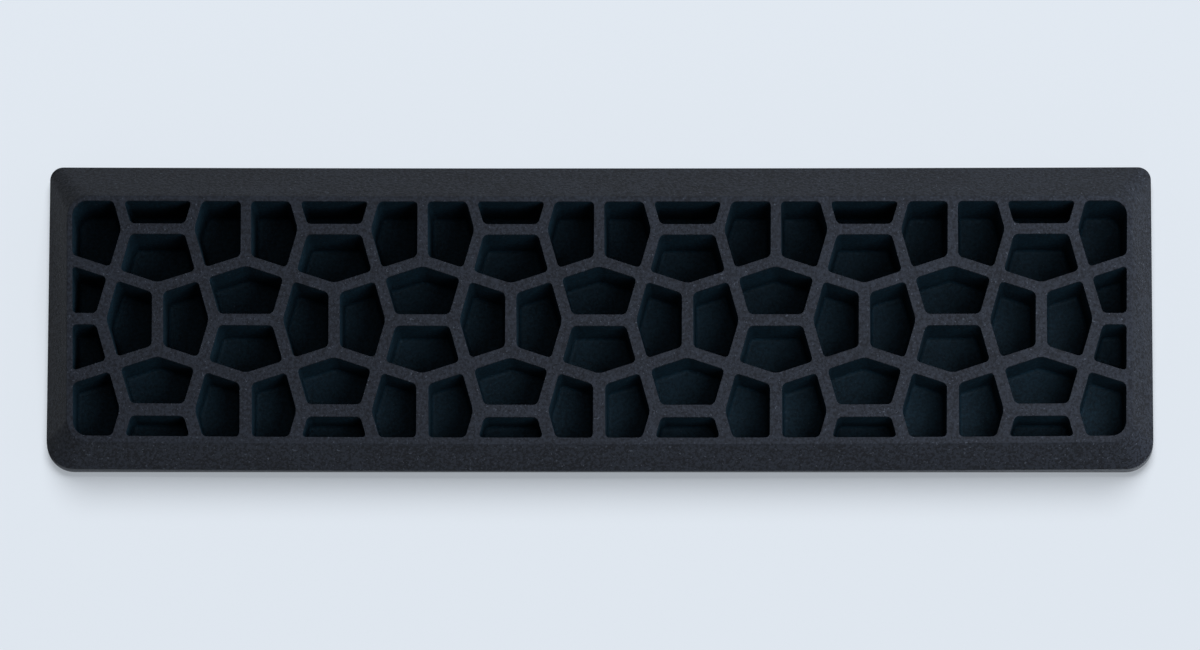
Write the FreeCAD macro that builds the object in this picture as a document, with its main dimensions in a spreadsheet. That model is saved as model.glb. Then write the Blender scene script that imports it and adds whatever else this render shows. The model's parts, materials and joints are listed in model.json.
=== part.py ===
"""Wrist rest: a cellular elastomer moulding bonded to a stiff plate on six anti-slip feet.

Frame, in millimetres: +X to the right, +Y towards the keyboard, +Z up.
The origin is on the desk, under the middle of the rest.
"""
import FreeCAD, Part

import math
import os

import Sketcher

V = FreeCAD.Vector
RIGHT_ANGLE = math.pi / 2
# how far a corner's edge may lie from the corner, and how far rounding may move a point, in millimetres
CORNER_REACH = 1.0
ROUNDING = 0.001

SIZES = [
    # the plate that everything is fixed to
    ("plate_length", 300.0),
    ("plate_depth", 83.8),
    ("plate_thick", 2.0),
    ("plate_chamfer", 0.5),
    ("front_round", 7.6),
    ("back_round", 3.6),
    # the anti-slip feet, set in recesses under the plate
    ("foot_length", 34.0),
    ("foot_width", 9.0),
    ("foot_thick", 1.4),
    ("foot_proud", 0.6),
    ("foot_chamfer", 0.3),
    ("foot_spacing_x", 116.0),
    ("foot_spacing_y", 58.0),
    ("recess_gap", 0.15),
    # the adhesive film between the plate and the moulding
    ("film_thick", 0.2),
    ("film_margin", 2.5),
    # the moulding: an upright foot, a bevel all round, and a palm surface that rises towards the back
    ("edge_height", 1.2),
    ("bow_front", 0.65),
    ("bow_back", 0.3),
    ("palm_height", 21.2),
    ("palm_slope", 8.5),
    ("palm_round", 6.0),
    ("bevel_front", 5.2),
    ("bevel_back", 12.5),
    ("bevel_side", 6.3),
    # the net of cells, sized on the cell floors; from there every wall leans back by the draft
    ("floor_height", 4.0),
    ("floor_chamfer", 0.4),
    ("draft", 2.0),
    ("field_length", 283.3),
    ("field_front", 34.5),
    ("field_back", 27.4),
    ("field_round", 3.6),
    ("net_pitch_x", 47.7),
    ("net_pitch_y", 48.5),
    ("bar_half_x", 8.4),
    ("bar_half_y", 8.3),
    ("rib_foot", 4.2),
    ("cell_round", 0.6),
]

FOOT_ROWS = [("front", -1), ("back", 1)]
FOOT_PLACES = [("left", -1), ("middle", 0), ("right", 1)]


def make_sheet(doc):
    """Put every driving size in a spreadsheet cell with a name."""
    sheet = doc.addObject("Spreadsheet::Sheet", "sizes")
    for row, (name, value) in enumerate(SIZES, start=1):
        sheet.set(f"A{row}", name)
        sheet.set(f"B{row}", str(value))
        sheet.setAlias(f"B{row}", name)
    doc.recompute()
    return sheet


def add_body(doc, label):
    body = doc.addObject("PartDesign::Body", label)
    body.Label = label
    return body


def add_sketch(body, name, height="0 mm", tilt="0 deg"):
    """A sketch on the body's XY plane, lifted by a height and tilted about X, both expressions."""
    sketch = body.newObject("Sketcher::SketchObject", name)
    plane = next(f for f in body.Origin.OriginFeatures if f.Role == "XY_Plane")
    sketch.AttachmentSupport = [(plane, "")]
    sketch.MapMode = "FlatFace"
    sketch.AttachmentOffset = FreeCAD.Placement(V(), FreeCAD.Rotation(V(1, 0, 0), 1.0))
    sketch.setExpression("AttachmentOffset.Rotation.Angle", tilt)
    sketch.setExpression("AttachmentOffset.Base.z", height)
    return sketch


def add_pad(body, sketch, name, length, reverse=False):
    pad = body.newObject("PartDesign::Pad", name)
    pad.Profile = sketch
    pad.Reversed = reverse
    pad.setExpression("Length", length)
    return pad


def bind(sketch, expression, *constraint):
    """Add a size constraint and tie it to the sheet."""
    index = sketch.addConstraint(Sketcher.Constraint(*constraint))
    sketch.setExpression(f"Constraints[{index}]", expression)


def add_line(sketch, start, end):
    return sketch.addGeometry(Part.LineSegment(V(*start, 0), V(*end, 0)), False)


def add_arc(sketch, centre, radius, start, end):
    """An arc turning anticlockwise between two angles in radians."""
    circle = Part.Circle(V(*centre, 0), V(0, 0, 1), radius)
    return sketch.addGeometry(Part.ArcOfCircle(circle, start, end), False)


def join_smoothly(sketch, joins):
    for join in joins:
        sketch.addConstraint(Sketcher.Constraint("Tangent", *join))


def draw_rectangle(sketch, half_x, half_y, words):
    """A rectangle about the origin; words are the expressions for its half length and half depth."""
    corners = [(half_x, -half_y), (half_x, half_y), (-half_x, half_y), (-half_x, -half_y)]
    right, rear, left, near = [add_line(sketch, corners[i], corners[(i + 1) % 4]) for i in range(4)]
    for one, other in [(right, rear), (rear, left), (left, near), (near, right)]:
        sketch.addConstraint(Sketcher.Constraint("Coincident", one, 2, other, 1))
    for side in (right, left):
        sketch.addConstraint(Sketcher.Constraint("Vertical", side))
    for side in (rear, near):
        sketch.addConstraint(Sketcher.Constraint("Horizontal", side))
    bind(sketch, words[0], "DistanceX", -1, 1, right, 1, half_x)
    bind(sketch, words[0], "DistanceX", left, 1, -1, 1, half_x)
    bind(sketch, words[1], "DistanceY", -1, 1, rear, 1, half_y)
    bind(sketch, words[1], "DistanceY", near, 1, -1, 1, half_y)


def draw_slot(sketch, centre, length, width, words):
    """A slot with round ends, lying along X.

    words are the expressions for its radius, its straight half length, and its centre's x and y.
    """
    x, y = centre
    radius = width / 2
    straight = length / 2 - radius
    right = add_arc(sketch, (x + straight, y), radius, -RIGHT_ANGLE, RIGHT_ANGLE)
    rear = add_line(sketch, (x + straight, y + radius), (x - straight, y + radius))
    left = add_arc(sketch, (x - straight, y), radius, RIGHT_ANGLE, 3 * RIGHT_ANGLE)
    near = add_line(sketch, (x - straight, y - radius), (x + straight, y - radius))
    join_smoothly(sketch, [(right, 2, rear, 1), (rear, 2, left, 1), (left, 2, near, 1), (near, 2, right, 1)])
    sketch.addConstraint(Sketcher.Constraint("Horizontal", rear))
    bind(sketch, words[0], "Radius", right, radius)
    bind(sketch, f"{words[2]} + {words[1]}", "DistanceX", -1, 1, right, 3, x + straight)
    bind(sketch, f"{words[2]} - ({words[1]})", "DistanceX", -1, 1, left, 3, x - straight)
    bind(sketch, words[3], "DistanceY", -1, 1, right, 3, y)


def draw_bowed_outline(sketch, half, front, back, bows, rounds, words):
    """A rounded rectangle whose two long sides are flat arcs, both bending towards -Y in the middle.

    half, front and back are the distances of the sides from the origin, bows the two arcs' heights over
    the whole length, and rounds the corner radii, front first. words are the expressions for these seven.
    """
    arc_front, arc_back = [half ** 2 / (2 * bow) for bow in bows]
    round_front, round_back = rounds
    # a front corner lies inside the front arc's circle, and a back corner outside the back arc's
    x_front, x_back = half - round_front, half - round_back
    reach_front, reach_back = arc_front - round_front, arc_back + round_back
    lean_front, lean_back = math.asin(x_front / reach_front), math.asin(x_back / reach_back)
    up_front, up_back = arc_front - front, arc_back + back
    y_front = up_front - reach_front * math.cos(lean_front)
    y_back = up_back - reach_back * math.cos(lean_back)
    down = 3 * RIGHT_ANGLE

    near = add_arc(sketch, (0, up_front), arc_front, down - lean_front, down + lean_front)
    front_right = add_arc(sketch, (x_front, y_front), round_front, down + lean_front, 4 * RIGHT_ANGLE)
    right = add_line(sketch, (half, y_front), (half, y_back))
    back_right = add_arc(sketch, (x_back, y_back), round_back, 0, RIGHT_ANGLE + lean_back)
    rear = add_arc(sketch, (0, up_back), arc_back, down - lean_back, down + lean_back)
    back_left = add_arc(sketch, (-x_back, y_back), round_back, RIGHT_ANGLE - lean_back, 2 * RIGHT_ANGLE)
    left = add_line(sketch, (-half, y_back), (-half, y_front))
    front_left = add_arc(sketch, (-x_front, y_front), round_front, 2 * RIGHT_ANGLE, down - lean_front)

    join_smoothly(sketch, [
        (near, 2, front_right, 1),
        (front_right, 2, right, 1),
        (right, 2, back_right, 1),
        (back_right, 2, rear, 2),
        (rear, 1, back_left, 1),
        (back_left, 2, left, 1),
        (left, 2, front_left, 1),
        (front_left, 2, near, 1),
    ])
    for side in (right, left):
        sketch.addConstraint(Sketcher.Constraint("Vertical", side))
    for side in (near, rear):
        sketch.addConstraint(Sketcher.Constraint("PointOnObject", side, 3, -2))
    word_half, word_front, word_back, word_bow_front, word_bow_back, word_round_front, word_round_back = words
    word_arc_front = f"({word_half}) ^ 2 / (2 * {word_bow_front})"
    word_arc_back = f"({word_half}) ^ 2 / (2 * {word_bow_back})"
    bind(sketch, word_half, "DistanceX", -1, 1, right, 1, half)
    bind(sketch, word_half, "DistanceX", left, 1, -1, 1, half)
    bind(sketch, word_arc_front, "Radius", near, arc_front)
    bind(sketch, word_arc_back, "Radius", rear, arc_back)
    bind(sketch, f"{word_arc_front} - ({word_front})", "DistanceY", -1, 1, near, 3, up_front)
    bind(sketch, f"{word_arc_back} + ({word_back})", "DistanceY", -1, 1, rear, 3, up_back)
    bind(sketch, word_round_front, "Radius", front_right, round_front)
    bind(sketch, word_round_back, "Radius", back_right, round_back)
    sketch.addConstraint(Sketcher.Constraint("Equal", front_right, front_left))
    sketch.addConstraint(Sketcher.Constraint("Equal", back_right, back_left))


def edges_where(shape, test):
    """Names of the edges whose middle point passes a test."""
    names = []
    for number, edge in enumerate(shape.Edges, start=1):
        first, last = edge.ParameterRange
        if test(edge.valueAt((first + last) / 2)):
            names.append(f"Edge{number}")
    return names


def dress(doc, body, kind, name, base, test, prop, expression):
    """A fillet or chamfer on the edges of a feature that pass a test."""
    doc.recompute()
    feature = body.newObject(kind, name)
    feature.Base = (base, edges_where(base.Shape, test))
    feature.setExpression(prop, expression)
    return feature


def make_plate(doc, sheet):
    """The stiff plate: rounded corners, a chamfered lower edge and six shallow recesses for the feet."""
    body = add_body(doc, "base_plate")
    half_x, half_y = sheet.plate_length / 2, sheet.plate_depth / 2
    outline = add_sketch(body, "plate_outline", "sizes.foot_proud * 1 mm")
    draw_rectangle(outline, half_x, half_y, ["sizes.plate_length / 2", "sizes.plate_depth / 2"])
    plate = add_pad(body, outline, "plate", "sizes.plate_thick")
    corner_x, corner_y = half_x - CORNER_REACH, half_y - CORNER_REACH
    front = dress(doc, body, "PartDesign::Fillet", "front_corners", plate,
                  lambda p: abs(p.x) > corner_x and p.y < -corner_y, "Radius", "sizes.front_round")
    back = dress(doc, body, "PartDesign::Fillet", "back_corners", front,
                 lambda p: abs(p.x) > corner_x and p.y > corner_y, "Radius", "sizes.back_round")
    chamfer = dress(doc, body, "PartDesign::Chamfer", "lower_edge", back,
                    lambda p: p.z < sheet.foot_proud + ROUNDING, "Size", "sizes.plate_chamfer")
    recesses = add_sketch(body, "recess_outlines", "sizes.foot_proud * 1 mm")
    for _, side_y in FOOT_ROWS:
        for _, side_x in FOOT_PLACES:
            draw_slot(
                recesses,
                (side_x * sheet.foot_spacing_x, side_y * sheet.foot_spacing_y / 2),
                sheet.foot_length + 2 * sheet.recess_gap,
                sheet.foot_width + 2 * sheet.recess_gap,
                [
                    "sizes.foot_width / 2 + sizes.recess_gap",
                    "(sizes.foot_length - sizes.foot_width) / 2",
                    f"{side_x} * sizes.foot_spacing_x",
                    f"{side_y} * sizes.foot_spacing_y / 2",
                ],
            )
    pocket = body.newObject("PartDesign::Pocket", "foot_recesses")
    pocket.Profile = recesses
    pocket.Reversed = True
    pocket.setExpression("Length", "sizes.foot_thick - sizes.foot_proud")
    doc.recompute()
    if pocket.Shape.Volume >= chamfer.Shape.Volume:
        raise RuntimeError("the foot recesses cut nothing")
    body.Tip = pocket
    return body


def make_foot(doc, sheet, label, side_x, side_y):
    """One anti-slip foot: a flat slot shape with its lower edge broken."""
    body = add_body(doc, label)
    outline = add_sketch(body, f"{label}_outline")
    draw_slot(
        outline, (0, 0), sheet.foot_length, sheet.foot_width,
        ["sizes.foot_width / 2", "(sizes.foot_length - sizes.foot_width) / 2", "0", "0"],
    )
    foot = add_pad(body, outline, f"{label}_blank", "sizes.foot_thick")
    chamfer = dress(doc, body, "PartDesign::Chamfer", f"{label}_edge", foot,
                    lambda p: p.z < ROUNDING, "Size", "sizes.foot_chamfer")
    body.Tip = chamfer
    body.setExpression("Placement.Base.x", f"{side_x} * sizes.foot_spacing_x * 1 mm")
    body.setExpression("Placement.Base.y", f"{side_y} * sizes.foot_spacing_y / 2 * 1 mm")
    return body


def make_film(doc, sheet):
    """The adhesive film, a little smaller than the moulding that it holds."""
    body = add_body(doc, "bond_film")
    outline = add_sketch(body, "film_outline", "(sizes.foot_proud + sizes.plate_thick) * 1 mm")
    half_x = sheet.plate_length / 2 - sheet.film_margin
    half_y = sheet.plate_depth / 2 - sheet.film_margin
    draw_rectangle(
        outline, half_x, half_y,
        ["sizes.plate_length / 2 - sizes.film_margin", "sizes.plate_depth / 2 - sizes.film_margin"],
    )
    film = add_pad(body, outline, "film", "sizes.film_thick")
    corner_x, corner_y = half_x - CORNER_REACH, half_y - CORNER_REACH
    rounded = dress(doc, body, "PartDesign::Fillet", "film_corners", film,
                    lambda p: abs(p.x) > corner_x and abs(p.y) > corner_y, "Radius", "sizes.front_round")
    body.Tip = rounded
    return body


def make_blank(doc, sheet):
    """The moulding before its cells: an upright foot, then bevels up to the sloping palm surface."""
    body = add_body(doc, "pad_blank")
    half_x, half_y = sheet.plate_length / 2, sheet.plate_depth / 2
    top_of_edge = "(sizes.foot_proud + sizes.plate_thick + sizes.film_thick + sizes.edge_height) * 1 mm"
    foot = add_sketch(body, "foot_outline", top_of_edge)
    draw_bowed_outline(
        foot, half_x, half_y, half_y - sheet.bow_back,
        (sheet.bow_front, sheet.bow_back), (sheet.front_round, sheet.back_round),
        [
            "sizes.plate_length / 2", "sizes.plate_depth / 2",
            "sizes.plate_depth / 2 - sizes.bow_back",
            "sizes.bow_front", "sizes.bow_back", "sizes.front_round", "sizes.back_round",
        ],
    )
    palm = add_sketch(body, "palm_outline", "sizes.palm_height * 1 mm", "sizes.palm_slope * 1 deg")
    lean = math.cos(math.radians(sheet.palm_slope))
    draw_bowed_outline(
        palm, half_x - sheet.bevel_side,
        (half_y - sheet.bevel_front) / lean, (half_y - sheet.bevel_back) / lean,
        (sheet.bow_front, sheet.bow_back), (sheet.palm_round, sheet.palm_round),
        [
            "sizes.plate_length / 2 - sizes.bevel_side",
            "(sizes.plate_depth / 2 - sizes.bevel_front) / cos(sizes.palm_slope * 1 deg)",
            "(sizes.plate_depth / 2 - sizes.bevel_back) / cos(sizes.palm_slope * 1 deg)",
            "sizes.bow_front", "sizes.bow_back", "sizes.palm_round", "sizes.palm_round",
        ],
    )
    add_pad(body, foot, "upright_foot", "sizes.edge_height", reverse=True)
    bevels = body.newObject("PartDesign::AdditiveLoft", "bevels")
    bevels.Profile = foot
    bevels.Sections = [palm]
    bevels.Ruled = True
    body.Tip = bevels
    return body


def net_pentagons(sheet):
    """Five-sided shapes of a net whose short bars lie and stand in turn.

    Each lying bar carries a pentagon above and one below it, and each standing bar one on either side.
    """
    step_x, step_y = sheet.net_pitch_x / 2, sheet.net_pitch_y / 2
    bar_x, bar_y = sheet.bar_half_x, sheet.bar_half_y
    middle = (sheet.field_back - sheet.field_front) / 2
    columns = math.ceil(sheet.field_length / sheet.net_pitch_x)
    rows = math.ceil((sheet.field_front + sheet.field_back) / sheet.net_pitch_y)
    for row in range(-rows, rows + 1):
        for column in range(-columns, columns + 1):
            lying = (row + column) % 2 == 0
            for side in (1, -1):
                if lying:
                    corners = [
                        (-bar_x, 0), (bar_x, 0), (step_x / 2, side * step_y / 2),
                        (0, side * (step_y - bar_y)), (-step_x / 2, side * step_y / 2),
                    ]
                else:
                    corners = [
                        (0, bar_y), (0, -bar_y), (side * step_x / 2, -step_y / 2),
                        (side * (step_x - bar_x), 0), (side * step_x / 2, step_y / 2),
                    ]
                yield [(column * step_x + x, middle + row * step_y + y) for x, y in corners]


def area(corners):
    total = 0.0
    for (x0, y0), (x1, y1) in zip(corners, corners[1:] + corners[:1]):
        total += (x0 * y1 - x1 * y0) / 2
    return total


def clip(corners, axis, limit, side):
    """The part of a polygon on the inner side of one straight limit."""
    kept = []
    for start, end in zip(corners, corners[1:] + corners[:1]):
        inside_start = side * start[axis] <= side * limit
        inside_end = side * end[axis] <= side * limit
        if inside_start:
            kept.append(start)
        if inside_start != inside_end:
            share = (limit - start[axis]) / (end[axis] - start[axis])
            kept.append(tuple(s + share * (e - s) for s, e in zip(start, end)))
    return kept


def inset(corners, widths):
    """Move each side of an anticlockwise polygon inwards by its own width."""
    moved = []
    count = len(corners)
    for i in range(count):
        lines = []
        for j in (i - 1, i):
            (x0, y0), (x1, y1) = corners[j], corners[(j + 1) % count]
            length = math.hypot(x1 - x0, y1 - y0)
            normal = (-(y1 - y0) / length, (x1 - x0) / length)
            lines.append((normal, normal[0] * x0 + normal[1] * y0 + widths[j]))
        ((a, b), c), ((d, e), f) = lines
        det = a * e - b * d
        moved.append(((c * e - b * f) / det, (a * f - c * d) / det))
    return moved


def floor_outlines(sheet):
    """Each cell's outline on its floor, as corner points and corner radii."""
    half = sheet.field_length / 2
    limits = [(0, half, 1), (0, -half, -1), (1, sheet.field_back, 1), (1, -sheet.field_front, -1)]
    depth = sheet.field_front + sheet.field_back
    for corners in net_pentagons(sheet):
        for limit in limits:
            corners = clip(corners, *limit)
        if len(corners) < 3:
            continue
        if area(corners) < 0:
            corners.reverse()
        on_border = []
        for start, end in zip(corners, corners[1:] + corners[:1]):
            on_border.append(any(
                abs(start[axis] - value) < ROUNDING and abs(end[axis] - value) < ROUNDING
                for axis, value, _ in limits
            ))
        corners = inset(corners, [0.0 if border else sheet.rib_foot / 2 for border in on_border])
        radii = [
            sheet.field_round if on_border[i - 1] and on_border[i] else sheet.cell_round
            for i in range(len(corners))
        ]
        bowed = []
        for x, y in corners:
            share = (y + sheet.field_front) / depth
            bow = sheet.bow_front + (sheet.bow_back - sheet.bow_front) * share
            bowed.append((x, y + bow * (x / half) ** 2))
        yield bowed, radii


def core_section(corners, radii, growth, height):
    """A rounded outline at one height, grown outwards from the floor outline."""
    count = len(corners)
    ends = []
    for i in range(count):
        before, here, after = [V(*corners[(i + k) % count], height) for k in (-1, 0, 1)]
        incoming, outgoing = (here - before).normalize(), (after - here).normalize()
        normals = [V(way.y, -way.x, 0) for way in (incoming, outgoing)]
        middle = (normals[0] + normals[1]).normalize()
        centre = here - middle * (radii[i] / middle.dot(normals[0]))
        radius = radii[i] + growth
        ends.append([centre + way * radius for way in (normals[0], middle, normals[1])])
    edges = []
    for i in range(count):
        edges.append(Part.Arc(*ends[i]).toShape())
        edges.append(Part.LineSegment(ends[i][2], ends[(i + 1) % count][0]).toShape())
    return Part.Wire(edges)


def make_cores(doc, sheet):
    """The mould's core block: one tapered core for each cell, taller than the moulding."""
    lean = math.tan(math.radians(sheet.draft))
    floor, chamfer = sheet.floor_height, sheet.floor_chamfer
    top = sheet.palm_height + sheet.plate_depth / 2 * math.tan(math.radians(sheet.palm_slope))
    cores = []
    for corners, radii in floor_outlines(sheet):
        sections = [
            core_section(corners, radii, -chamfer, floor),
            core_section(corners, radii, chamfer * lean, floor + chamfer),
            core_section(corners, radii, (top - floor) * lean, top),
        ]
        cores.append(Part.makeLoft(sections, True, True))
    block = doc.addObject("Part::Feature", "cell_cores")
    block.Shape = Part.makeCompound(cores)
    block.Placement = FreeCAD.Placement()
    print("cells:", len(cores))
    return block


def make_moulding(doc, sheet):
    """The finished moulding: the blank with its cells taken out."""
    moulding = doc.addObject("Part::Cut", "cell_pad")
    moulding.Label = "cell_pad"
    moulding.Base = make_blank(doc, sheet)
    moulding.Tool = make_cores(doc, sheet)
    return moulding


def check(doc, pieces):
    for thing in doc.Objects:
        if {"Invalid", "Error"} & set(thing.State):
            raise RuntimeError(f"{thing.Label} failed: {thing.State}")
    for piece in pieces:
        if piece.Shape.isNull() or not piece.Shape.isValid():
            raise RuntimeError(f"{piece.Label} has no valid shape")
        box = piece.Shape.BoundBox
        print(f"{piece.Label}: {piece.Shape.Volume:.1f} mm3, {len(piece.Shape.Solids)} solid,",
              f"x {box.XMin:.2f} to {box.XMax:.2f}, y {box.YMin:.2f} to {box.YMax:.2f},",
              f"z {box.ZMin:.2f} to {box.ZMax:.2f}")


def main():
    doc = FreeCAD.newDocument("wrist_rest")
    sheet = make_sheet(doc)
    pieces = [make_moulding(doc, sheet), make_film(doc, sheet), make_plate(doc, sheet)]
    for row, side_y in FOOT_ROWS:
        for place, side_x in FOOT_PLACES:
            pieces.append(make_foot(doc, sheet, f"foot_{row}_{place}", side_x, side_y))
    doc.recompute()
    check(doc, pieces)
    os.makedirs("parts", exist_ok=True)
    for piece in pieces:
        piece.Shape.exportStep(f"parts/{piece.Label}.step")


main()
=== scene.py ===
# %% [markdown]
# # A keyboard wrist rest with a net of cells
# This lesson dresses a wrist rest: a black elastomer moulding with five-sided cells, bonded to a stiff
# plate that stands on six anti-slip feet. The engineering model gives the frame, and every piece made
# here sits in it. Lengths are in metres, +X runs along the rest, +Y points to the keyboard, +Z is up.

import json
import math

import bmesh
import bpy
from mathutils import Matrix, Vector
from mathutils.kdtree import KDTree

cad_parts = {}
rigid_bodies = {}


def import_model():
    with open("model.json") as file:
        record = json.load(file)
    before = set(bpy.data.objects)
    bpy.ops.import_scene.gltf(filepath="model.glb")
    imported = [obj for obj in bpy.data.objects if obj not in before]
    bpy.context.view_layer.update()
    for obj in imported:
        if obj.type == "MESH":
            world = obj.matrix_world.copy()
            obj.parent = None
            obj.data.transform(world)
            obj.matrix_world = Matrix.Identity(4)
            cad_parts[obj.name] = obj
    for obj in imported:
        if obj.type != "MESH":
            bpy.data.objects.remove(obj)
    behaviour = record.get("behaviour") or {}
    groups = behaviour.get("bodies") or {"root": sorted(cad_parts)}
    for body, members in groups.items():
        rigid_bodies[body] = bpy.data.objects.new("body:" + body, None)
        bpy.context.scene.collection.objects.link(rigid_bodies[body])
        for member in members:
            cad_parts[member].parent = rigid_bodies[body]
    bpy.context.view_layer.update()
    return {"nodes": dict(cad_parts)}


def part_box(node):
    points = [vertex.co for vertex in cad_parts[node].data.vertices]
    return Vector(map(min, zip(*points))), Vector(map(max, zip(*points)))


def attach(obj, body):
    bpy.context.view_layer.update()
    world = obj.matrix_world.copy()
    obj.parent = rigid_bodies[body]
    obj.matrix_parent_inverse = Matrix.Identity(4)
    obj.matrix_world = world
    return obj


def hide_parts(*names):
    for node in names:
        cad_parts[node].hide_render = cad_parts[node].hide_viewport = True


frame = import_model()
scene = bpy.context.scene
MM = 0.001


def millimetres(point):
    return tuple(round(value / MM, 2) for value in point)


pad_low, pad_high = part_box("cell_pad")
plate_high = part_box("base_plate")[1]
print("moulding from", millimetres(pad_low), "to", millimetres(pad_high))

# %% [markdown]
# ## Camera
# The rest is looked at from the user's side, only about ten degrees off straight down, with a long lens
# from well over two metres away, so its outline hardly converges. A long lens could be had by cropping
# too, but the lens and the distance together fix how much of the cell walls is seen, so both are set.
# The camera also stands a little right of the middle, which a second, much smaller turn gives.

# %% Camera
TILT = math.radians(10.5)
SIDE_TURN = math.radians(0.7)
DISTANCE = 2.365
FILM_WIDTH = 36.0
SEEN_WIDTH = 326.6 * MM
AIM = Vector((0.0, -1.08 * MM, 0.0))
FAR_CLIP = 50.0

camera_data = bpy.data.cameras.new("camera")
camera_data.sensor_width = FILM_WIDTH
camera_data.lens = FILM_WIDTH * DISTANCE / SEEN_WIDTH
camera_data.clip_end = FAR_CLIP
camera = bpy.data.objects.new("camera", camera_data)
scene.collection.objects.link(camera)
turn = Matrix.Rotation(TILT, 3, "X") @ Matrix.Rotation(SIDE_TURN, 3, "Y")
camera.location = AIM + turn @ Vector((0.0, 0.0, DISTANCE))
camera.rotation_euler = turn.to_euler()
scene.camera = camera
print("lens", round(camera_data.lens, 1), "mm, camera at", millimetres(camera.location), "mm")

# %% [markdown]
# ## Shader graphs as arithmetic
# Every finish below is a small graph of nodes. Wiring them one by one hides the sums, so a socket is
# wrapped in a class that knows the usual operators: `1 - mask * 0.3` then adds its Math nodes by itself.


# %% A wire that can be counted with
class Wire:
    """A node's output that can be added, taken away and multiplied."""

    def __init__(self, tree, socket):
        self.tree = tree
        self.socket = socket

    def math(self, operation, *values):
        node = self.tree.nodes.new("ShaderNodeMath")
        node.operation = operation
        for slot, value in zip(node.inputs, values):
            if isinstance(value, Wire):
                self.tree.links.new(value.socket, slot)
            else:
                slot.default_value = value
        return Wire(self.tree, node.outputs[0])

    def __add__(self, other):
        return self.math("ADD", self, other)

    def __radd__(self, other):
        return self.math("ADD", other, self)

    def __sub__(self, other):
        return self.math("SUBTRACT", self, other)

    def __rsub__(self, other):
        return self.math("SUBTRACT", other, self)

    def __mul__(self, other):
        return self.math("MULTIPLY", self, other)


# %% [markdown]
# A second class stands for one whole material. It adds the few kinds of node that the finishes share, and
# measures every texture in object coordinates, so a size in metres is the size of the grain on the piece.


# %% A material under construction
class Finish:
    """A material under construction."""

    def __init__(self, name):
        self.material = bpy.data.materials.new(name)
        self.material.use_nodes = True
        self.tree = self.material.node_tree
        self.tree.nodes.clear()
        self.place = self.node("ShaderNodeTexCoord", output="Object")

    def node(self, kind, settings=None, output=0, **values):
        """Add a node, make its settings first, then fill its sockets with values or wires."""
        node = self.tree.nodes.new(kind)
        for key, value in (settings or {}).items():
            setattr(node, key, value)
        for key, value in values.items():
            slot = next(s for s in node.inputs if s.name.replace(" ", "_") == key and s.enabled)
            if isinstance(value, Wire):
                self.tree.links.new(value.socket, slot)
            else:
                slot.default_value = value
        return Wire(self.tree, node.outputs[output])

    def noise(self, size, detail=2.0, roughness=0.5, tall=1.0):
        """Soft noise between 0 and 1 whose patches are as wide as size and tall times as high."""
        spread = self.node("ShaderNodeMapping", Vector=self.place, Scale=(1.0, 1.0, 1.0 / tall))
        return self.node("ShaderNodeTexNoise", output="Fac", Vector=spread,
                         Scale=1.0 / size, Detail=detail, Roughness=roughness)

    def ramp(self, value, low, high):
        """0 below low, 1 above high, and straight between them."""
        return self.node("ShaderNodeMapRange", {"clamp": True}, Value=value, From_Min=low, From_Max=high)

    def blend(self, share, one, other):
        """Between two colours; share 0 gives the first."""
        node = self.tree.nodes.new("ShaderNodeMix")
        node.data_type = "RGBA"
        for key, value in (("Factor_Float", share), ("A_Color", one), ("B_Color", other)):
            slot = next(s for s in node.inputs if s.identifier == key)
            if isinstance(value, Wire):
                self.tree.links.new(value.socket, slot)
            else:
                slot.default_value = value
        return Wire(self.tree, next(s for s in node.outputs if s.identifier == "Result_Color"))

    def surface(self, colour, roughness, height=None, depth=0.0, **sockets):
        """Close the graph with a Principled shader; a height makes bumps that are depth metres tall."""
        if height is not None:
            sockets["Normal"] = self.node("ShaderNodeBump", Strength=1.0, Distance=depth, Height=height)
        shader = self.node("ShaderNodeBsdfPrincipled", Base_Color=colour, Roughness=roughness, **sockets)
        out = self.tree.nodes.new("ShaderNodeOutputMaterial")
        self.tree.links.new(shader.socket, out.inputs["Surface"])
        return self.material


# %% [markdown]
# ## The elastomer
# The moulding is a matte black elastomer with a faint blue cast and a dry, speckled skin: tiny pale
# specks where the skin is rough, over a tone that drifts a little from place to place. A single dark
# colour would look like a hole in the picture, so the tone, the roughness and the bump all vary, at
# three sizes: broad drift, skin texture, and specks. The skin is not the same all over, though. Palms
# polish the top and the bevels keep the coarse grain of the mould. The walls and floors inside the cells
# are painted a darker and colder black, which is painted shade in these deep recesses. So the finish
# also needs masks for these places. They come from how far a point lies below the palm surface and whether
# it is inside the cell field.

# %% Where the cells are
SLOPE = math.radians(8.5)
PALM_HEIGHT = 21.2 * MM
FIELD_HALF = 283.3 / 2 * MM
FIELD_FRONT, FIELD_BACK = -34.5 * MM, 27.4 * MM
FIELD_MIDDLE = (FIELD_FRONT + FIELD_BACK) / 2
RIM = 1.2 * MM
RIM_CORNER = 3.0 * MM
MASK_EDGE = 0.1 * MM
BELOW_START, BELOW_FULL = 0.15 * MM, 0.9 * MM


def palm_z(y):
    """The height of the palm surface, for a number or for a wire."""
    return PALM_HEIGHT + y * math.tan(SLOPE)


def shade_and_bevel_masks(finish):
    """The painted shade mask, 1 on the walls and floors of the cells, and the bevel mask, 1 on the bevels;
    both are 0 on the palm surface.
    """
    x, y, z = (finish.node("ShaderNodeSeparateXYZ", output=i, Vector=finish.place) for i in range(3))
    below = finish.ramp(palm_z(y) - z, BELOW_START, BELOW_FULL)
    from_end = FIELD_HALF + RIM - x.math("ABSOLUTE", x)
    across = y - FIELD_MIDDLE
    from_side = (FIELD_BACK - FIELD_FRONT) / 2 + RIM - across.math("ABSOLUTE", across)
    inside = 1.0
    for distance in (from_end, from_side, from_end + from_side - RIM_CORNER):
        inside = finish.ramp(distance, 0.0, MASK_EDGE) * inside
    # The first mask places the painted shade inside the cells, the second the coarser grain of the bevels.
    return below * inside, below * (1.0 - inside)


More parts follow.
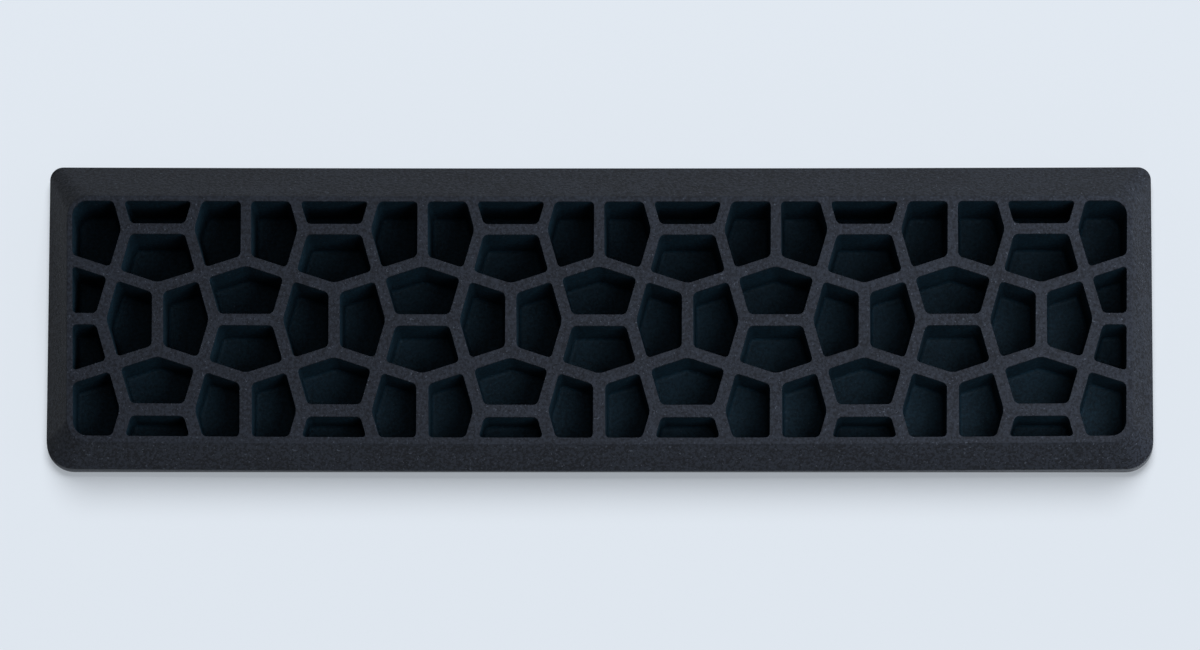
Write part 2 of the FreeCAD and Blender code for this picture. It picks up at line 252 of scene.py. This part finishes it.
# %% Elastomer finish
SKIN_COLOURS = (0.0070, 0.0078, 0.0102, 1.0), (0.0152, 0.0178, 0.0240, 1.0)
# The cell colours are painted shade: the walls and floors of the cells get a darker, colder black than the
# skin.
CELL_SHADE_COLOURS = (0.0014, 0.0060, 0.0098, 1.0), (0.0030, 0.0124, 0.0204, 1.0)
SPECK_COLOUR = (0.042, 0.048, 0.060, 1.0)
DRIFT_SIZE, SKIN_SIZE, SPECK_SIZE = 18 * MM, 0.8 * MM, 0.75 * MM
STRETCH = 1.8
SKIN_DEPTH = 0.2 * MM

finish = Finish("matte_elastomer")
# The first mask is where the painted shade inside the cells goes.
painted_cell_shade, bevel = shade_and_bevel_masks(finish)
drift = finish.noise(DRIFT_SIZE)
skin = finish.noise(SKIN_SIZE, roughness=0.7, tall=STRETCH)
speck = finish.ramp(finish.noise(SPECK_SIZE, detail=1.0, tall=STRETCH), 0.68, 0.74)
blotch = skin * 0.85 + drift * 0.15
fine_tone = finish.ramp(blotch, 0.38, 0.62)
coarse_tone = finish.ramp(blotch, 0.45, 0.55)
tone = fine_tone + (coarse_tone - fine_tone) * bevel
skin_tone = finish.blend(tone, *SKIN_COLOURS)
# The tone inside the cells is painted shade, darker and colder than the skin tone.
cell_shade_tone = finish.blend(tone, *CELL_SHADE_COLOURS)
# Specks fade inside the cells as part of the painted shade there.
pale = speck * (0.65 + bevel * 0.3 - painted_cell_shade * 0.45)
colour = finish.blend(pale, finish.blend(painted_cell_shade, skin_tone, cell_shade_tone), SPECK_COLOUR)
elastomer = finish.surface(
    colour,
    roughness=0.8 - skin * 0.18,
    height=(skin + speck * 0.4) * (0.65 + bevel * 0.6),
    depth=SKIN_DEPTH,
    Specular_IOR_Level=0.1,
)
print(elastomer.name, "has", len(elastomer.node_tree.nodes), "nodes")

# %% [markdown]
# ## The plate, the film and the feet
# The plate under the moulding is a dark grey plastic with a spark-eroded grain. Its edge is the lighter
# line along the front. The film is a dull translucent sheet that hardly shows. The feet are softer and
# blacker than the moulding, with the slight sheen of clean silicone.

# %% Plate, film and foot finishes
PLATE_COLOURS = (0.026, 0.029, 0.034, 1.0), (0.045, 0.049, 0.055, 1.0)
FILM_COLOURS = (0.2, 0.19, 0.17, 1.0), (0.3, 0.29, 0.26, 1.0)
FOOT_COLOURS = (0.012, 0.012, 0.013, 1.0), (0.022, 0.022, 0.023, 1.0)

finish = Finish("grained_plate")
grain = finish.noise(size=0.5 * MM, roughness=0.6)
cloud = finish.noise(size=30 * MM)
colour = finish.blend(finish.ramp(grain * 0.6 + cloud * 0.4, 0.35, 0.65), *PLATE_COLOURS)
plate_finish = finish.surface(colour, roughness=0.62 - grain * 0.2, height=grain, depth=0.06 * MM)

finish = Finish("adhesive_film")
haze = finish.noise(size=4 * MM)
colour = finish.blend(finish.ramp(haze, 0.35, 0.65), *FILM_COLOURS)
film_finish = finish.surface(colour, roughness=0.45 + haze * 0.2, height=haze, depth=0.03 * MM)

finish = Finish("silicone_foot")
bloom = finish.noise(size=6 * MM, detail=3.0)
pores = finish.noise(size=0.4 * MM, detail=1.0)
colour = finish.blend(finish.ramp(bloom, 0.35, 0.7), *FOOT_COLOURS)
foot_finish = finish.surface(colour, roughness=0.5 + bloom * 0.18, height=pores, depth=0.02 * MM)
for material in (plate_finish, film_finish, foot_finish):
    print(material.name, "has", len(material.node_tree.nodes), "nodes")

# %% [markdown]
# ## Working with operators
# Blender's operators act on whatever is selected, and a loaded frame leaves its nodes selected. So each
# piece starts from nothing selected, and the edges and faces to work on are picked by where they are.


# %% Selecting, modifiers and bevels
def select_none():
    for thing in bpy.context.selected_objects:
        thing.select_set(False)


def make_active(thing):
    select_none()
    thing.select_set(True)
    bpy.context.view_layer.objects.active = thing


def apply_modifier(thing, kind, **settings):
    make_active(thing)
    modifier = thing.modifiers.new(kind.lower(), kind)
    for key, value in settings.items():
        setattr(modifier, key, value)
    bpy.ops.object.modifier_apply(modifier=modifier.name)


def bevel_edges(thing, test, width, steps):
    """Round the edges that pass a test."""
    make_active(thing)
    bpy.ops.object.mode_set(mode="EDIT")
    bpy.ops.mesh.select_mode(type="EDGE")
    bpy.ops.mesh.select_all(action="DESELECT")
    mesh = bmesh.from_edit_mesh(thing.data)
    chosen = [edge for edge in mesh.edges if test(edge)]
    for edge in chosen:
        edge.select_set(True)
    bmesh.update_edit_mesh(thing.data)
    bpy.ops.mesh.bevel(offset=width, segments=steps, affect="EDGES", clamp_overlap=False)
    bpy.ops.object.mode_set(mode="OBJECT")
    return len(chosen)


# %% [markdown]
# The moulding and the cores run between outlines that no primitive has. A filled circle with as many
# vertices as the outline is laid on it point by point, then extruded and laid on the next outline.


# %% Lofting between outlines
def place(vertices, before, after):
    """Move vertices that lie on one ring of points to the matching points of another."""
    tree = KDTree(len(before))
    for number, point in enumerate(before):
        tree.insert(point, number)
    tree.balance()
    for vertex in vertices:
        vertex.co = after[tree.find(vertex.co)[1]]


def add_loft(name, rings):
    """A closed shape through rings of points, made by extruding a filled circle from ring to ring."""
    count = len(rings[0])
    select_none()
    bpy.ops.mesh.primitive_circle_add(vertices=count, radius=1.0, fill_type="NGON")
    thing = bpy.context.active_object
    thing.name = name
    place(thing.data.vertices, [v.co.copy() for v in thing.data.vertices], rings[0])
    bpy.ops.object.mode_set(mode="EDIT")
    for before, after in zip(rings, rings[1:]):
        bpy.ops.mesh.extrude_region_move()
        mesh = bmesh.from_edit_mesh(thing.data)
        place([v for v in mesh.verts if v.select], before, after)
        bmesh.update_edit_mesh(thing.data)
    bpy.ops.mesh.select_all(action="SELECT")
    bpy.ops.mesh.normals_make_consistent(inside=False)
    bpy.ops.object.mode_set(mode="OBJECT")
    return thing


# %% [markdown]
# ## The blank of the moulding
# Before its cells are cut the moulding is a block with an upright foot, bevels that lean in by a different
# amount on each side, and a flat palm surface that rises towards the keyboard. Its long sides bend by
# a fraction of a millimetre. It starts as a filled circle primitive, laid on the rounded outline of the
# foot and extruded from outline to outline, because a cube's bevelled corners could not change their
# radius on the way up to the palm surface.

# %% Outlines of the moulding
FOOT_TOP = pad_low.z + 1.2 * MM
FOOT_ROUND_FRONT, FOOT_ROUND_BACK, PALM_ROUND = 7.6 * MM, 3.6 * MM, 6.0 * MM
BOW_FRONT, BOW_BACK = 0.65 * MM, 0.3 * MM
HALF_LENGTH = plate_high.x
HALF_DEPTH = plate_high.y
INSET_FRONT, INSET_BACK, INSET_SIDE = 5.2 * MM, 12.5 * MM, 6.3 * MM
CORNER_STEPS = 12
SIDE_STEPS = 24


def bow_at(x, share, half=HALF_LENGTH):
    """How far a long line at x is bent back; share runs from 0 at the front to 1 at the back."""
    return (BOW_FRONT + (BOW_BACK - BOW_FRONT) * share) * (x / half) ** 2


def outline(half, front, back, round_front, round_back):
    """Points of a rounded rectangle with slightly bent long sides, anticlockwise from its back left."""
    corners = [
        (-half + round_front, -front + round_front, round_front, 180),
        (half - round_front, -front + round_front, round_front, 270),
        (half - round_back, back - round_back, round_back, 0),
        (-half + round_back, back - round_back, round_back, 90),
    ]
    points = []
    for number, (x, y, radius, start) in enumerate(corners):
        for step in range(CORNER_STEPS + 1):
            angle = math.radians(start + 90 * step / CORNER_STEPS)
            points.append((x + radius * math.cos(angle), y + radius * math.sin(angle)))
        if number in (0, 2):
            x_next = corners[number + 1][0]
            y_side = points[-1][1]
            for step in range(1, SIDE_STEPS):
                points.append((x + (x_next - x) * step / SIDE_STEPS, y_side))
    bent = []
    for x, y in points:
        share = (y + front) / (back + front)
        bent.append((x, y + bow_at(x, share, half)))
    return bent


foot_outline = outline(HALF_LENGTH, HALF_DEPTH, HALF_DEPTH - BOW_BACK, FOOT_ROUND_FRONT, FOOT_ROUND_BACK)
palm_outline = outline(HALF_LENGTH - INSET_SIDE, HALF_DEPTH - INSET_FRONT, HALF_DEPTH - INSET_BACK,
                       PALM_ROUND, PALM_ROUND)
print("points on each outline", len(foot_outline), len(palm_outline))

# %% Blank
moulding = add_loft("moulded_pad", [
    [Vector((x, y, pad_low.z)) for x, y in foot_outline],
    [Vector((x, y, FOOT_TOP)) for x, y in foot_outline],
    [Vector((x, y, palm_z(y))) for x, y in palm_outline],
])
print("blank", millimetres(moulding.dimensions))

# %% [markdown]
# ## The net of cells
# The cells belong to a net of five-sided shapes. Short bars lie and stand in turn, like a basket weave.
# A lying bar carries one shape above it and one below, and a standing bar one on each side. Each shape is
# cut off at the edge of the cell field, and its sides move in by half a rib, except along that edge.
# Working this out with a formula keeps all the ribs equally thick, which drawing each cell would not.


# %% Shapes of the net
NET_X, NET_Y = 47.7 * MM, 48.5 * MM
BAR_X, BAR_Y = 8.4 * MM, 8.3 * MM


def shapes_of_bar(lying):
    """The two shapes that share a bar, as corners about the bar's middle."""
    for side in (1, -1):
        if lying:
            yield [(-BAR_X, 0), (BAR_X, 0), (NET_X / 4, side * NET_Y / 4),
                   (0, side * (NET_Y / 2 - BAR_Y)), (-NET_X / 4, side * NET_Y / 4)]
        else:
            yield [(0, BAR_Y), (0, -BAR_Y), (side * NET_X / 4, -NET_Y / 4),
                   (side * (NET_X / 2 - BAR_X), 0), (side * NET_X / 4, NET_Y / 4)]


def cut_off(corners, axis, limit, side):
    """Keep the part of a shape on the inner side of one edge of the field."""
    kept = []
    for start, end in zip(corners, corners[1:] + corners[:1]):
        start_in, end_in = side * start[axis] <= side * limit, side * end[axis] <= side * limit
        if start_in:
            kept.append(start)
        if start_in != end_in:
            kept.append(start.lerp(end, (limit - start[axis]) / (end[axis] - start[axis])))
    return kept


def move_sides(corners, widths):
    """Move each side of an anticlockwise shape inwards by its own width."""
    moved = []
    for i, corner in enumerate(corners):
        before = (corner - corners[i - 1]).normalized()
        after = (corners[(i + 1) % len(corners)] - corner).normalized()
        moved.append(corner + (after * widths[i - 1] - before * widths[i]) / before.cross(after))
    return moved


# %% [markdown]
# The bars lie on a grid half a net apart, and the grid reaches past the field on every side, so the edge
# of the field and not the grid decides where the net ends.

# %% Cells
RIB_FOOT = 4.2 * MM
TOUCHING = 0.01 * MM
FIELD_EDGES = [(0, FIELD_HALF, 1), (0, -FIELD_HALF, -1), (1, FIELD_BACK, 1), (1, FIELD_FRONT, -1)]
GRID = [(row, column) for row in range(-2, 3) for column in range(-7, 8)]


def cell_in_field(corners):
    """The outline of the cell that one shape of the net leaves inside the field, or None."""
    for edge in FIELD_EDGES:
        corners = cut_off(corners, *edge)
    if len(corners) < 3:
        return None
    if sum(a.cross(b) for a, b in zip(corners, corners[1:] + corners[:1])) < 0:
        corners.reverse()
    widths = []
    for a, b in zip(corners, corners[1:] + corners[:1]):
        along_border = any(abs(a[axis] - limit) + abs(b[axis] - limit) < TOUCHING
                           for axis, limit, _ in FIELD_EDGES)
        widths.append(0.0 if along_border else RIB_FOOT / 2)
    return move_sides(corners, widths)


cells = []
for row, column in GRID:
    middle = Vector((column * NET_X / 2, FIELD_MIDDLE + row * NET_Y / 2))
    for shape in shapes_of_bar(lying=(row + column) % 2 == 0):
        cell = cell_in_field([middle + Vector(corner) for corner in shape])
        if cell:
            cells.append(cell)
print("cells", len(cells))

# %% [markdown]
# ## Cores that cut the cells
# A real mould has a core for every cell: a blunt tapered peg with rounded edges. The same pegs are made
# here and taken away from the blank. Rounding the pegs gives every cell its soft floor and its round
# corners in one bevel, where rounding the finished cells would mean thousands of inner edges.

# %% Cores
DRAFT = math.radians(2.0)
FLOOR = 4.0 * MM
CORE_PAST_TOP = 2 * MM
CORE_TOP = pad_high.z + CORE_PAST_TOP


def bend(corner):
    """Shift a corner of the net along with the bend of the long sides."""
    share = (corner.y - FIELD_FRONT) / (FIELD_BACK - FIELD_FRONT)
    return Vector((corner.x, corner.y + bow_at(corner.x, share)))


cores = []
for corners in cells:
    low = [bend(corner) for corner in corners]
    high = move_sides(low, [-(CORE_TOP - FLOOR) * math.tan(DRAFT)] * len(low))
    cores.append(add_loft("core", [
        [Vector((*corner, FLOOR)) for corner in low],
        [Vector((*corner, CORE_TOP)) for corner in high],
    ]))
make_active(cores[0])
for core in cores:
    core.select_set(True)
bpy.ops.object.join()
block = bpy.context.active_object
print("cores", len(cells), "with", len(block.data.polygons), "faces")

# %% [markdown]
# The four cores at the corners of the field have one upright edge each that is rounded much more than the
# others. Those four edges come first, and then every sharp edge that reaches down to a core's blunt end.

# %% Round the cores
FIELD_ROUND, FIELD_STEPS = 3.9 * MM, 10
CELL_ROUND, CELL_STEPS = 1.15 * MM, 4
NEAR = 0.3 * MM
END_ZONE = 1.0 * MM
SHARP = math.radians(30)


def is_field_corner(edge):
    low, high = sorted((v.co for v in edge.verts), key=lambda co: co.z)
    near_side = abs(abs(low.x) - FIELD_HALF) < NEAR
    near_end = min(abs(low.y - FIELD_FRONT - BOW_FRONT), abs(low.y - FIELD_BACK - BOW_BACK)) < NEAR
    return high.z - low.z > END_ZONE and near_side and near_end


def is_sharp_below_top(edge):
    return min(v.co.z for v in edge.verts) < FLOOR + END_ZONE and edge.calc_face_angle(0.0) > SHARP


print("field corners", bevel_edges(block, is_field_corner, FIELD_ROUND, FIELD_STEPS))
print("edges rounded", bevel_edges(block, is_sharp_below_top, CELL_ROUND, CELL_STEPS))

# %% [markdown]
# ## Cutting the cells
# One cut takes all the cores out of the blank. A real moulding has no knife edges, so a narrow bevel then
# softens every rib. It leaves a few corners of the mesh almost on top of each other, and these are merged.

# %% Cut the cells and soften the edges
RIB_SOFTNESS = 0.13 * MM
RIB_ANGLE = math.radians(40)
SMOOTH_ANGLE = math.radians(34)
SAME_PLACE = 0.002 * MM

apply_modifier(moulding, "BOOLEAN", operation="DIFFERENCE", object=block, solver="EXACT")
bpy.data.objects.remove(block)
apply_modifier(moulding, "BEVEL", width=RIB_SOFTNESS, segments=2, limit_method="ANGLE",
               angle_limit=RIB_ANGLE, use_clamp_overlap=True)
make_active(moulding)
bpy.ops.object.mode_set(mode="EDIT")
bpy.ops.mesh.select_all(action="SELECT")
bpy.ops.mesh.remove_doubles(threshold=SAME_PLACE)
bpy.ops.object.mode_set(mode="OBJECT")
bpy.ops.object.shade_smooth_by_angle(angle=SMOOTH_ANGLE)
apply_modifier(moulding, "WEIGHTED_NORMAL", keep_sharp=True)
moulding.data.materials.clear()
moulding.data.materials.append(elastomer)
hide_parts("cell_pad")
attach(moulding, "root")
print("moulding faces", len(moulding.data.polygons))

# %% [markdown]
# ## Feet
# Each foot is a slab of silicone with round ends, pressed into a recess under the plate. The engineering
# foot has the right size but a hard edge, so a softer one takes its place: a cube primitive whose
# upright edges are bevelled until the ends are round, and whose rim is then rolled over. All six are
# alike, so one is modelled where the first foot sits, and copies of its mesh move to the other places.

# %% First foot
FOOT_ROLL, ROLL_STEPS = 0.35 * MM, 4
END_SHARE, END_STEPS = 0.499, 12
FOOT_SMOOTH_ANGLE = math.radians(40)
SMALL_GAP = 0.1 * MM

foot_nodes = sorted(node for node in frame["nodes"] if node.startswith("foot_"))
foot_low, foot_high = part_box(foot_nodes[0])


def is_upright(edge):
    return abs(edge.verts[0].co.z - edge.verts[1].co.z) > SMALL_GAP


def is_lower_rim(edge):
    return max(vertex.co.z for vertex in edge.verts) < foot_low.z + SMALL_GAP


select_none()
bpy.ops.mesh.primitive_cube_add(size=1.0, location=(foot_low + foot_high) / 2, scale=foot_high - foot_low)
bpy.ops.object.transform_apply(location=True, rotation=True, scale=True)
first_foot = bpy.context.active_object
bevel_edges(first_foot, is_upright, END_SHARE * (foot_high.y - foot_low.y), END_STEPS)
bevel_edges(first_foot, is_lower_rim, FOOT_ROLL, ROLL_STEPS)
bpy.ops.object.shade_smooth_by_angle(angle=FOOT_SMOOTH_ANGLE)
apply_modifier(first_foot, "WEIGHTED_NORMAL")
first_foot.data.materials.clear()
first_foot.data.materials.append(foot_finish)
print("foot", millimetres(first_foot.dimensions), "faces", len(first_foot.data.polygons))

# %% Six feet
feet = {foot_nodes[0]: first_foot}
for node in foot_nodes[1:]:
    make_active(first_foot)
    bpy.ops.object.duplicate(linked=False)
    feet[node] = bpy.context.active_object
    feet[node].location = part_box(node)[0] - foot_low
    bpy.ops.object.transform_apply(location=True, rotation=True, scale=True)

for node, foot in feet.items():
    foot.name = node.replace("foot", "silicone_foot")
    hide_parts(node)
    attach(foot, "root")

# %% [markdown]
# ## The plate and the film
# Both keep the shape of the engineering model, because they lie almost hidden under the moulding and
# already have their chamfer and recesses. They only get their finishes.

# %% Plate and film
for node, material in (("base_plate", plate_finish), ("bond_film", film_finish)):
    for slot in frame["nodes"][node].material_slots:
        slot.material = material
    print(node, "wears", material.name)

# %% [markdown]
# ## Stage and light
# The rest lies on a plain pale floor. Two soft boxes stand close by on the right, so the tones fall off
# towards the left, and a third hangs high above. The floor has a light of its own, a large one high
# behind the rest, which only throws the soft shadow along the front. Light linking keeps these two jobs
# apart: with one set of lights for both, the boxes on the right would also throw shadows to the left.
# The floor sinks by a hair, because two faces in one plane would flicker where the feet stand on it.

# %% Floor
FLOOR_COLOUR = (0.753, 0.807, 0.871)
LIT_SHARE = 0.6
FLOOR_SIZE = 30.0
FLOOR_SINKS = 0.02 * MM

select_none()
bpy.ops.mesh.primitive_plane_add(size=FLOOR_SIZE, location=(0.0, 0.0, -FLOOR_SINKS))
floor = bpy.context.active_object
floor.name = "floor"
finish = Finish("pale_floor")
wash = finish.ramp(finish.noise(size=0.8, detail=1.0), 0.3, 0.7)
lit = [value * LIT_SHARE for value in FLOOR_COLOUR]
floor.data.materials.append(finish.surface(
    finish.blend(wash, (*lit, 1.0), (*(value * 1.01 for value in lit), 1.0)),
    roughness=0.9 + wash * 0.05,
    Specular_IOR_Level=0.0,
    Emission_Color=(*FLOOR_COLOUR, 1.0),
    Emission_Strength=1.0 - LIT_SHARE,
))
print(floor.name, FLOOR_SIZE, "m wide")

# %% Light helpers
COOL_WHITE = (0.93, 0.985, 1.06)
PURE_WHITE = (1.0, 1.0, 1.0)


def add_light(name, group, spot, size, power, colour=COOL_WHITE):
    """A round soft box that looks at the middle of the rest and lights one group of objects."""
    data = bpy.data.lights.new(name, "AREA")
    data.shape = "DISK"
    data.size = size
    data.energy = power
    data.color = colour
    light = bpy.data.objects.new(name, data)
    scene.collection.objects.link(light)
    light.location = spot
    light.rotation_euler = (-Vector(spot)).to_track_quat("-Z", "Y").to_euler()
    light.light_linking.receiver_collection = group
    print(name, "at", [round(value, 2) for value in spot])


def from_sky(azimuth, height, distance):
    """The place seen at an azimuth right of straight back and an angle above the floor, in degrees."""
    flat = math.cos(math.radians(height)) * distance
    return (flat * math.sin(math.radians(azimuth)), flat * math.cos(math.radians(azimuth)),
            math.sin(math.radians(height)) * distance)


# %% Lights
floor_group = bpy.data.collections.new("lit_floor")
rest_group = bpy.data.collections.new("lit_rest")
floor_group.objects.link(floor)
for thing in scene.objects:
    if thing.type == "MESH" and thing is not floor:
        rest_group.objects.link(thing)

add_light("right_front_box", rest_group, (0.34, -0.29, 0.62), 0.5, 5.9)
add_light("right_back_box", rest_group, (0.40, 0.23, 0.43), 0.42, 3.95)
add_light("high_box", rest_group, (0.0, 0.0, 1.8), 0.9, 3.2)
add_light("floor_light", floor_group, from_sky(5, 56, 6.0), 3.7, 396.0, PURE_WHITE)

# %% Room
ROOM_STRENGTH = 0.15

world = bpy.data.worlds.new("room")
world.use_nodes = True
background = world.node_tree.nodes["Background"]
background.inputs["Color"].default_value = (*COOL_WHITE, 1.0)
background.inputs["Strength"].default_value = ROOM_STRENGTH
scene.world = world
scene.view_settings.view_transform = "Standard"
print("room light", ROOM_STRENGTH)
